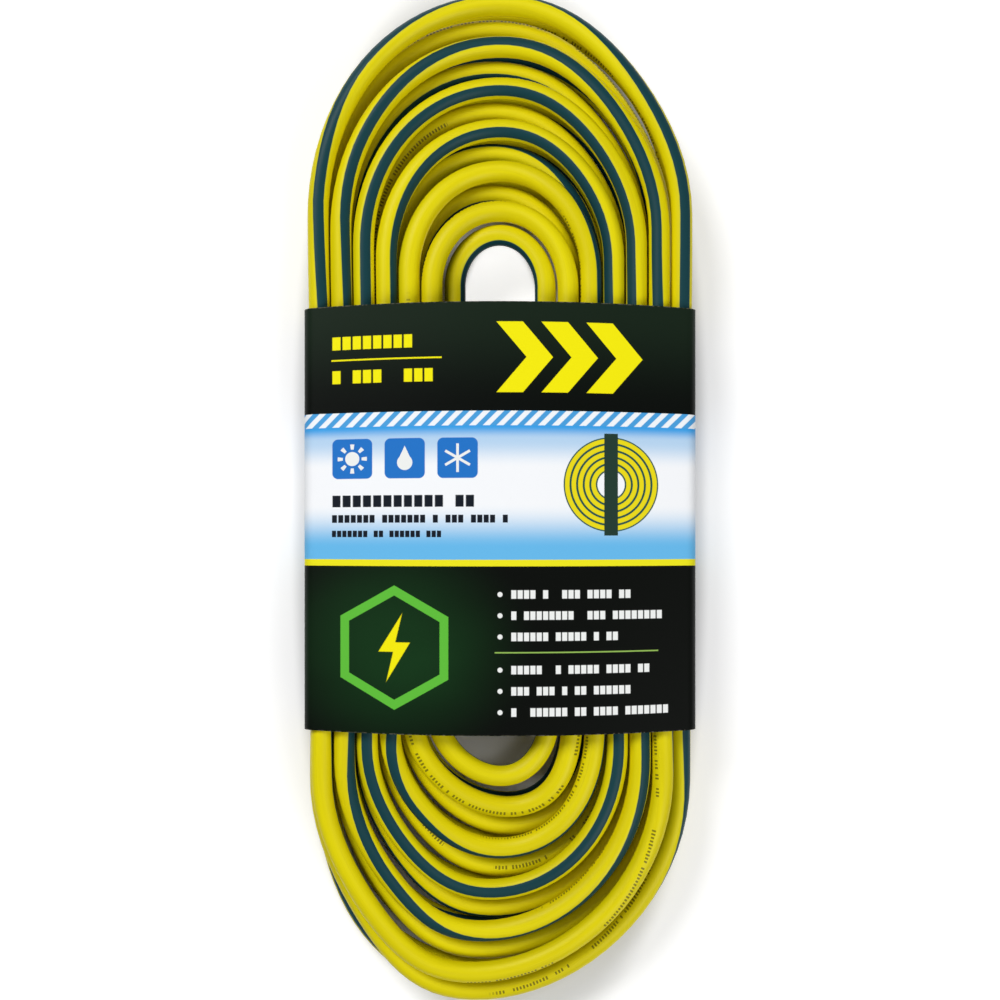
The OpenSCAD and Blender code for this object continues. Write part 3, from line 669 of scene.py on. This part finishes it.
def lay_bands(p):
    """The grounds of the bands, all round the card."""
    t = p.t
    top = p.blend(t.rise(*TOP_FADE), srgb(22, 36, 24), srgb(4, 8, 5))
    sky = p.blend(t.rise(*BLUE_FADE), srgb(58, 160, 232), srgb(184, 214, 242))
    sky = p.blend(t.rise(*WHITE_FADE), sky, srgb(248, 250, 253))
    sky = p.blend(t.rise(*LOW_SKY_FADE), sky, srgb(104, 186, 236))

    # the lower panel is greener round its badge
    glow = p.noise(p.vector(p.x * 0.02, t * 0.05), 1.0, 1.0)
    dx, dt = p.x - BADGE_X, t - BADGE_T
    away = (dx * dx + dt * dt * 1.3).math("SQRT")
    lit = (1.0 - away.rise(*BADGE_LIGHT)) * (glow * 0.4 + 0.6)
    low = p.blend(lit, srgb(5, 8, 5), srgb(20, 58, 26))

    # the slants run on down the sides and along the back, and meet at the card's free end
    drop = ((p.z - SLEEVE_TOP) * -1.0 - SIDE_DEPTH).most(0.0)
    girth = p.x + (p.x - FLAP_W / 2).math("SIGN") * drop
    slants = ((girth + t) / SLANT_PITCH).math("FRACT").within(0.25, 0.75, 0.05)
    slanted = p.blend(slants, srgb(244, 248, 252), srgb(74, 160, 222))

    colour = p.blend(p.past(TOP_PANEL_END), top, slanted)
    colour = p.blend(p.past(SLANTS_END), colour, sky)
    colour = p.blend(p.past(SKY_END), colour, srgb(240, 232, 30))
    p.colour = p.blend(p.past(LINE_END), colour, low)


def lay_top_panel(p):
    """Three chevrons right of the middle, and blocks at the left."""
    middle = (p.t - CHEVRON_T).size()
    slant = p.x + middle * CHEVRON_SLOPE
    arrows = union(slant.within(x0, x0 + CHEVRON_W) for x0 in CHEVRON_PLACES)
    p.lay(arrows * (1.0 - middle.rise(CHEVRON_HALF_H - 0.15, CHEVRON_HALF_H + 0.15)), GOLD)
    for row in TOP_ROWS:
        p.lay(p.blocks(LEFT_MARGIN, *row), GOLD)
    p.lay(p.box(LEFT_MARGIN, -22, CHEVRON_T - 0.3, CHEVRON_T + 0.3), GOLD)


def tile(p, cx, ct):
    """A square with rounded corners."""
    dx, dt = ((way.size() - TILE_FLAT_HALF).most(0.0) for way in (p.x - cx, p.t - ct))
    return 1.0 - (dx * dx + dt * dt).math("SQRT").rise(TILE_CORNER_R - 0.15, TILE_CORNER_R + 0.15)


def sun(p, cx, ct):
    """A disc with eight short rays round it."""
    angle = (p.t - ct).math("ARCTAN2", p.x - cx)
    rays = p.distance(cx, ct).within(3.6, 5.6) * (angle * 8.0).math("COSINE").rise(0.3, 0.5)
    return p.disc(cx, ct, 2.7).most(rays)


def water_drop(p, cx, ct):
    """A disc under a pointed tip."""
    tip, foot, middle = ct - 5.4, ct + 1.2, ct + 1.6
    side = (p.x - cx).size() + (foot - p.t) * 0.46
    point = side.math("LESS_THAN", 2.75) * p.t.within(tip, foot)
    return p.disc(cx, middle, 2.9).most(point)


def flake(p, cx, ct):
    """Three crossed bars, cut to a disc."""
    across = [(p.x - cx) * cos_d(a) + (p.t - ct) * sin_d(a) for a in (0, 60, 120)]
    return union(1.0 - a.size().rise(0.4, 0.6) for a in across) * p.disc(cx, ct, 5.4)


def lay_sky(p):
    """Three tiles, rows of blocks under them, and a coil of rings at the right."""
    for cx, motif in zip(TILE_PLACES, (sun, water_drop, flake)):
        p.lay(tile(p, cx, TILE_T), srgb(36, 116, 200))
        p.lay(motif(p, cx, TILE_T), PALE)
    for row in SKY_ROWS:
        p.lay(p.blocks(LEFT_MARGIN, *row), INK)
    r = p.distance(COIL_X, COIL_T)
    rings = ((r - 5.4) / COIL_PITCH).math("FRACT").within(0.16, 0.84, 0.05)
    p.lay(r.within(5.2, 18.0), srgb(36, 84, 78))
    p.lay(rings * r.within(5.6, 17.7), srgb(236, 220, 24))
    # a band across the coil
    p.lay(p.box(COIL_X - 2.6, COIL_X + 2.6, COIL_T - 19.4, COIL_T + 19.4), srgb(36, 60, 50))


def lay_lower_panel(p):
    """A six-sided ring with a bolt at the left, and rows of blocks with a dot each at the right."""
    dx, dt = (p.x - BADGE_X).size(), (p.t - BADGE_T).size()
    # 0.5 and 0.866 are the cosine and sine of 60 degrees, the way of the hexagon's slanted sides
    p.lay(dx.most(dx * 0.5 + dt * 0.866).within(BADGE_R - 2.8, BADGE_R + 0.5), srgb(96, 190, 60))
    p.lay(p.bolt(BADGE_X, BADGE_T, BADGE_R), GOLD)
    for k, (t0, count) in enumerate(LOWER_ROWS):
        row = p.blocks(ROWS_X, t0, ROW_H, count, 2.4, 10.0 + k)
        p.lay(row.most(p.disc(ROWS_X - 4, t0 + ROW_H / 2, 0.95)), PALE)
    p.lay(p.box(ROWS_X - 6, 60, BADGE_T + 1.3, BADGE_T + 1.8), srgb(150, 190, 90))


def print_paint():
    """Bands of colour all round the card, plain shapes of this script's own on the front, and wear."""
    p = Print()
    for lay_part in (lay_bands, lay_top_panel, lay_sky, lay_lower_panel):
        lay_part(p)

    # the card's free end on the back, and the ink worn along both ends of the sleeve
    seam = p.x.within(FLAP_W / 2 - 0.2, FLAP_W / 2 + 0.2, 0.1) * (1.0 - p.z.rise(0.2, 0.4))
    ends = (1.0 - p.t.rise(0.15, 0.45)).most(p.t.rise(SLEEVE_LEN - 0.45, SLEEVE_LEN - 0.15))
    worn = ends * p.grain.rise(0.45, 0.6)
    colour = p.blend(seam, p.colour, srgb(96, 90, 78))
    p.set("Base Color", p.blend(worn * 0.3, colour, srgb(150, 144, 130)))
    p.set("Roughness", p.grain * 0.1 + 0.42)
    p.bump(p.grain * 0.2 - seam, 0.0002, 0.3)
    return p.material


# ---- plain materials and which node has which ------------------------------------------
GLOSS_SPREAD = 0.14


def plain_paint(name, colour, roughness, spread=0.12, scale=300.0, bump=0.00005, **inputs):
    """One colour with a little variation in tone and gloss."""
    paint = Paint(name, colour, roughness, **inputs)
    place = paint.tree.nodes.new("ShaderNodeTexCoord").outputs["Object"]
    fine = paint.noise(place, scale, 4.0, 0.6)
    broad = paint.noise(place, scale / 12, 2.0)
    darker = tuple(c * (1 - spread) for c in colour)
    paint.set("Base Color", paint.blend(broad.rise(0.35, 0.65), darker, colour))
    paint.set("Roughness", fine * GLOSS_SPREAD + (roughness - GLOSS_SPREAD / 2))
    if bump:
        paint.bump(fine, bump, 0.4)
    return paint.material


cord_material = cord_paint()
print_material = print_paint()
card_back = plain_paint("card_raw", srgb(176, 164, 140), 0.85, spread=0.2, scale=900.0, bump=0.0001)
green_vinyl = plain_paint("green_vinyl", srgb(34, 132, 52), 0.45, Specular_IOR_Level=0.4)
clear_green = plain_paint("clear_green", srgb(120, 226, 120), 0.18, Transmission_Weight=0.85, IOR=1.35)
nylon = plain_paint("nylon", srgb(216, 214, 200), 0.5)
brass = plain_paint("brass", srgb(214, 178, 96), 0.28, scale=500.0, Metallic=1.0)
nickel = plain_paint("nickel", srgb(205, 205, 200), 0.25, scale=500.0, Metallic=1.0)
tin = plain_paint("tin", srgb(180, 182, 186), 0.35, scale=500.0, Metallic=1.0)
black_core = plain_paint("black_core", srgb(28, 28, 30), 0.45)
white_core = plain_paint("white_core", srgb(232, 232, 226), 0.45)
green_core = plain_paint("green_core", srgb(30, 120, 50), 0.45)
lamp_glass = plain_paint("lamp_glass", srgb(255, 150, 70), 0.08, bump=0, Transmission_Weight=0.6)
resistor_body = plain_paint("resistor_body", srgb(206, 182, 136), 0.5)
jacket_plain = plain_paint("jacket_end", YELLOW, 0.42)

# each node's material, and a short label for it
FINISH = {
    "sleeve_glue_flap": (card_back, "card_back"),
    "plug_overmould": (green_vinyl, "plug_mould"),
    "plug_bridge": (nylon, "nylon"),
    "plug_line_blade": (brass, "brass"),
    "plug_neutral_blade": (nickel, "nickel"),
    "plug_ground_pin": (brass, "brass"),
    "plug_crimps": (tin, "tin"),
    "plug_line_wire": (black_core, "black_core"),
    "plug_neutral_wire": (white_core, "white_core"),
    "plug_ground_wire": (green_core, "green_core"),
    "plug_jacket_end": (jacket_plain, "cord_jacket"),
    "connector_overmould": (clear_green, "clear_mould"),
    "connector_core": (nylon, "nylon"),
    "connector_line_contact": (brass, "brass"),
    "connector_neutral_contact": (nickel, "nickel"),
    "connector_ground_contact": (brass, "brass"),
    "connector_crimps": (tin, "tin"),
    "connector_line_wire": (black_core, "black_core"),
    "connector_neutral_wire": (white_core, "white_core"),
    "connector_ground_wire": (green_core, "green_core"),
    "connector_jacket_end": (jacket_plain, "cord_jacket"),
    "indicator_lamp": (lamp_glass, "lamp_glass"),
    "lamp_resistor": (resistor_body, "resistor_body"),
    "lamp_leads": (tin, "tin"),
}
for node, (material, slot) in FINISH.items():
    obj = nodes[node]
    if obj.material_slots:
        for held in obj.material_slots:
            held.material = material
    else:
        obj.data.materials.append(material)

# ---- the cord ---------------------------------------------------------------------
cord = cord_mesh("cord", cord_material)
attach(cord, "hank")
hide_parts("cord_hank")

# ---- the sleeve -------------------------------------------------------------------
sleeve = sleeve_mesh("sleeve", print_material, card_back)
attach(sleeve, "sleeve")
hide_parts("sleeve_wrap")

# ---- floor and light, places in mm ---------------------------------------------------
THROWN_GREY = (0.45, 0.45, 0.45)
SEEN_WHITE = (0.98, 0.98, 0.98)
FLOOR_HALF = 6000.0
FLOOR_Z = -0.3
# the floor glows evenly outside a rounded shape a little larger than the hank, and more strongly in the
# hank's upper eye, which is painted light; under the turns it has no glow, which is painted shade
GLOW = 0.3
GLOW_HALF_W = 78
GLOW_HALF_LEN = 200
GLOW_POWER = 2.6
EYE_GLOW = 2.6
EYE_HALF_W = 18
EYE_ROUND_Y = 60
EYE_ROUND_LEN = 47
# light from all round, as a share of the white that the camera sees
AMBIENT = 0.2


def floor_paint():
    """Near white where the camera sees it, with the shadow kept; grey for the light that it throws back."""
    paint = Paint("floor", SEEN_WHITE, 0.9, Specular_IOR_Level=0.0)
    rays = paint.tree.nodes.new("ShaderNodeLightPath").outputs
    seen = Value(paint.tree, rays["Is Camera Ray"]).most(rays["Is Glossy Ray"])
    seen = seen.most(rays["Is Transmission Ray"])
    paint.set("Base Color", paint.blend(seen, THROWN_GREY, SEEN_WHITE))

    # painted light and shade: the glow whitens the floor round the hank and, as a painted pool of light, in
    # its upper eye; it is left off under the turns, which leaves their gaps dark as painted shade
    x, y, _ = paint.coords()
    across, along = ((x / GLOW_HALF_W).size(), (y / GLOW_HALF_LEN).size())
    outside = (across.math("POWER", GLOW_POWER) + along.math("POWER", GLOW_POWER)).rise(1.0, 1.25)
    side, above = x / EYE_HALF_W, (y - EYE_ROUND_Y).most(0.0) / EYE_ROUND_LEN
    eye = (1.0 - (side * side + above * above).rise(0.8, 1.15)) * y.rise(-40, 50)
    far = (x * x + y * y).math("SQRT").rise(350.0, 2000.0)
    # painted light in the upper eye and painted shade under the turns, both made by where this glow is
    # strong and where it is off
    glow = seen * outside.most(eye * EYE_GLOW) * (far * 2.0 + 1.0) * GLOW
    paint.set("Emission Color", (1.0, 1.0, 1.0, 1.0))
    paint.set("Emission Strength", glow)
    return paint.material


corners = [(-1, -1), (1, -1), (1, 1), (-1, 1)]
floor = new_object("floor", [(FLOOR_HALF * i, FLOOR_HALF * j, FLOOR_Z) for i, j in corners],
                   [(0, 1, 2, 3)], [floor_paint()])

world = bpy.data.worlds.new("world")
scene.world = world
world.use_nodes = True
backdrop = world.node_tree.nodes["Background"]
backdrop.inputs["Color"].default_value = (1.0, 1.0, 1.0, 1.0)
# white where the camera sees it, and a soft even light for the rest
seen = Value(world.node_tree, world.node_tree.nodes.new("ShaderNodeLightPath").outputs["Is Camera Ray"])
put(world.node_tree, backdrop.inputs["Strength"], seen * (1.0 - AMBIENT) + AMBIENT)


def area_light(name, place, size, power):
    """A round soft light that faces the origin."""
    data = bpy.data.lights.new(name, "AREA")
    data.shape = "DISK"
    data.size = size
    data.energy = power
    light = bpy.data.objects.new(name, data)
    light.location = place
    way = -np.array(place)
    flat = math.hypot(way[0], way[1])
    light.rotation_euler = (math.atan2(flat, -way[2]), 0.0, math.atan2(way[1], way[0]) - math.pi / 2)
    scene.collection.objects.link(light)


area_light("key", place=(-0.8, 0.9, 1.3), size=0.9, power=20.5)
area_light("fill", place=(0.9, -0.9, 1.3), size=1.2, power=16.5)

# only the view transform is set; the other view settings stay as they come
scene.view_settings.view_transform = "Standard"
